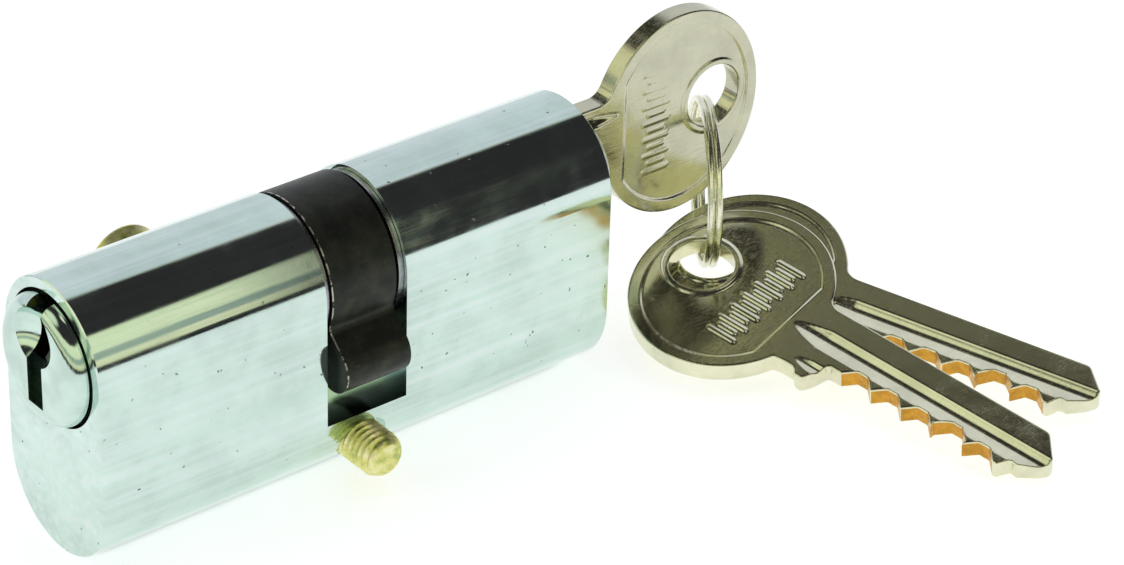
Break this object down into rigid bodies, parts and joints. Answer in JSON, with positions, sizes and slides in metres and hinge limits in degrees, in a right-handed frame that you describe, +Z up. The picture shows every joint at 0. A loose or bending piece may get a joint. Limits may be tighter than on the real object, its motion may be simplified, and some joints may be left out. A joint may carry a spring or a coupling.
{
  "type": "lock cylinder",
  "caption": "Oval-profile double lock cylinder, keyed both ends, with central cam, fixing screw, a key in the rear plug and spare keys on a split ring.",
  "frame": {"origin": "on the plugs' common axis, midway along the body, right above the fixing screw's axis", "axes": "+X along the plugs towards the rear end, where the key is; +Z up, away from the pin chambers; +Y towards the fixing screw's head"},
  "size_m": [0.1054, 0.0894, 0.0368],
  "materials": {
    "body_nickel": "polished nickel plate, bright, with fine lengthwise machining lines",
    "plug_nickel": "turned and nickel plated, fine concentric lines on the nose",
    "cam_steel": "sintered steel, black phosphated, worn bright at the lever's edge",
    "screw_zinc": "steel, yellow iridescent zinc plate",
    "key_nickel": "nickel-plated brass, stamped; the milled cuts show raw brass",
    "ring_nickel": "nickel-plated spring steel wire",
    "pin_brass": "turned brass",
    "driver_brass": "turned brass, hardened",
    "spring_steel": "stainless spring wire",
    "clip_steel": "blued spring steel",
    "clutch_steel": "sintered steel, plain"
  },
  "bodies": {
    "cylinder": {"cylinder_body": "body_nickel", "front_chamber_plugs": "pin_brass", "rear_chamber_plugs": "pin_brass", "front_spring_1": "spring_steel", "front_spring_2": "spring_steel", "front_spring_3": "spring_steel", "front_spring_4": "spring_steel", "front_spring_5": "spring_steel", "rear_spring_1": "spring_steel", "rear_spring_2": "spring_steel", "rear_spring_3": "spring_steel", "rear_spring_4": "spring_steel", "rear_spring_5": "spring_steel"},
    "front_plug": {"front_plug": "plug_nickel", "front_retaining_ring": "clip_steel", "front_clutch": "clutch_steel"},
    "rear_plug": {"rear_plug": "plug_nickel", "rear_retaining_ring": "clip_steel", "rear_clutch": "clutch_steel", "clutch_pin": "clutch_steel", "rear_key_pin_1": "pin_brass", "rear_key_pin_2": "pin_brass", "rear_key_pin_3": "pin_brass", "rear_key_pin_4": "pin_brass", "rear_key_pin_5": "pin_brass"},
    "cam": {"cam": "cam_steel"},
    "fixing_screw": {"fixing_screw": "screw_zinc"},
    "inserted_key": {"inserted_key": "key_nickel"},
    "split_ring": {"split_ring": "ring_nickel"},
    "loose_key_upper": {"loose_key_upper": "key_nickel"},
    "loose_key_lower": {"loose_key_lower": "key_nickel"},
    "front_stack_1": {"front_key_pin_1": "pin_brass", "front_driver_pin_1": "driver_brass"},
    "front_stack_2": {"front_key_pin_2": "pin_brass", "front_driver_pin_2": "driver_brass"},
    "front_stack_3": {"front_key_pin_3": "pin_brass", "front_driver_pin_3": "driver_brass"},
    "front_stack_4": {"front_key_pin_4": "pin_brass", "front_driver_pin_4": "driver_brass"},
    "front_stack_5": {"front_key_pin_5": "pin_brass", "front_driver_pin_5": "driver_brass"},
    "rear_driver_1": {"rear_driver_pin_1": "driver_brass"},
    "rear_driver_2": {"rear_driver_pin_2": "driver_brass"},
    "rear_driver_3": {"rear_driver_pin_3": "driver_brass"},
    "rear_driver_4": {"rear_driver_pin_4": "driver_brass"},
    "rear_driver_5": {"rear_driver_pin_5": "driver_brass"}
  },
  "joints": [
    {"name": "front_plug_play", "type": "hinge", "parent": "cylinder", "child": "front_plug", "pos_m": [-0.02, 0, 0], "axis": [1, 0, 0], "range_deg": [-0.5, 0.5]},
    {"name": "rear_plug_turn", "type": "hinge", "parent": "cylinder", "child": "rear_plug", "pos_m": [0.02, 0, 0], "axis": [1, 0, 0], "continuous": true},
    {"name": "cam_turn", "type": "hinge", "parent": "cylinder", "child": "cam", "pos_m": [0, 0, 0], "axis": [1, 0, 0], "continuous": true},
    {"name": "screw_out", "type": "slide", "parent": "cylinder", "child": "fixing_screw", "axis": [0, 1, 0], "range_m": [0, 0.0205]},
    {"name": "key_out", "type": "slide", "parent": "rear_plug", "child": "inserted_key", "axis": [1, 0, 0], "range_m": [0, 0.03]},
    {"name": "ring_swing", "type": "hinge", "parent": "inserted_key", "child": "split_ring", "pos_m": [0.0528, 0, -0.00115], "axis": [0, 0, 1], "range_deg": [0, 60]},
    {"name": "upper_key_swivel", "type": "hinge", "parent": "split_ring", "child": "loose_key_upper", "pos_m": [0.0492, -0.00534, -0.01546], "axis": [-0.2394, -0.1596, 0.9577], "range_deg": [-30, 40]},
    {"name": "lower_key_swivel", "type": "hinge", "parent": "split_ring", "child": "loose_key_lower", "pos_m": [0.05085, -0.0029, -0.01741], "axis": [-0.2394, -0.1596, 0.9577], "range_deg": [-20, 2]},
    {"name": "front_stack_1_press", "type": "slide", "parent": "cylinder", "child": "front_stack_1", "axis": [0, 0, -1], "range_m": [0, 0.0028], "stiffness_N_per_m": 150, "springref_m": -0.003, "deforming": ["front_spring_1"]},
    {"name": "front_stack_2_press", "type": "slide", "parent": "cylinder", "child": "front_stack_2", "axis": [0, 0, -1], "range_m": [0, 0.0028], "stiffness_N_per_m": 150, "springref_m": -0.003, "deforming": ["front_spring_2"]},
    {"name": "front_stack_3_press", "type": "slide", "parent": "cylinder", "child": "front_stack_3", "axis": [0, 0, -1], "range_m": [0, 0.0028], "stiffness_N_per_m": 150, "springref_m": -0.003, "deforming": ["front_spring_3"]},
    {"name": "front_stack_4_press", "type": "slide", "parent": "cylinder", "child": "front_stack_4", "axis": [0, 0, -1], "range_m": [0, 0.0028], "stiffness_N_per_m": 150, "springref_m": -0.003, "deforming": ["front_spring_4"]},
    {"name": "front_stack_5_press", "type": "slide", "parent": "cylinder", "child": "front_stack_5", "axis": [0, 0, -1], "range_m": [0, 0.0028], "stiffness_N_per_m": 150, "springref_m": -0.003, "deforming": ["front_spring_5"]},
    {"name": "rear_driver_1_press", "type": "slide", "parent": "cylinder", "child": "rear_driver_1", "axis": [0, 0, -1], "range_m": [0, 0.0022], "stiffness_N_per_m": 150, "springref_m": -0.004, "deforming": ["rear_spring_1"]},
    {"name": "rear_driver_2_press", "type": "slide", "parent": "cylinder", "child": "rear_driver_2", "axis": [0, 0, -1], "range_m": [0, 0.0022], "stiffness_N_per_m": 150, "springref_m": -0.004, "deforming": ["rear_spring_2"]},
    {"name": "rear_driver_3_press", "type": "slide", "parent": "cylinder", "child": "rear_driver_3", "axis": [0, 0, -1], "range_m": [0, 0.0022], "stiffness_N_per_m": 150, "springref_m": -0.004, "deforming": ["rear_spring_3"]},
    {"name": "rear_driver_4_press", "type": "slide", "parent": "cylinder", "child": "rear_driver_4", "axis": [0, 0, -1], "range_m": [0, 0.0022], "stiffness_N_per_m": 150, "springref_m": -0.004, "deforming": ["rear_spring_4"]},
    {"name": "rear_driver_5_press", "type": "slide", "parent": "cylinder", "child": "rear_driver_5", "axis": [0, 0, -1], "range_m": [0, 0.0022], "stiffness_N_per_m": 150, "springref_m": -0.004, "deforming": ["rear_spring_5"]}
  ],
  "couplings": [
    {"joint": "cam_turn", "follows": "rear_plug_turn", "ratio": 1}
  ]
}
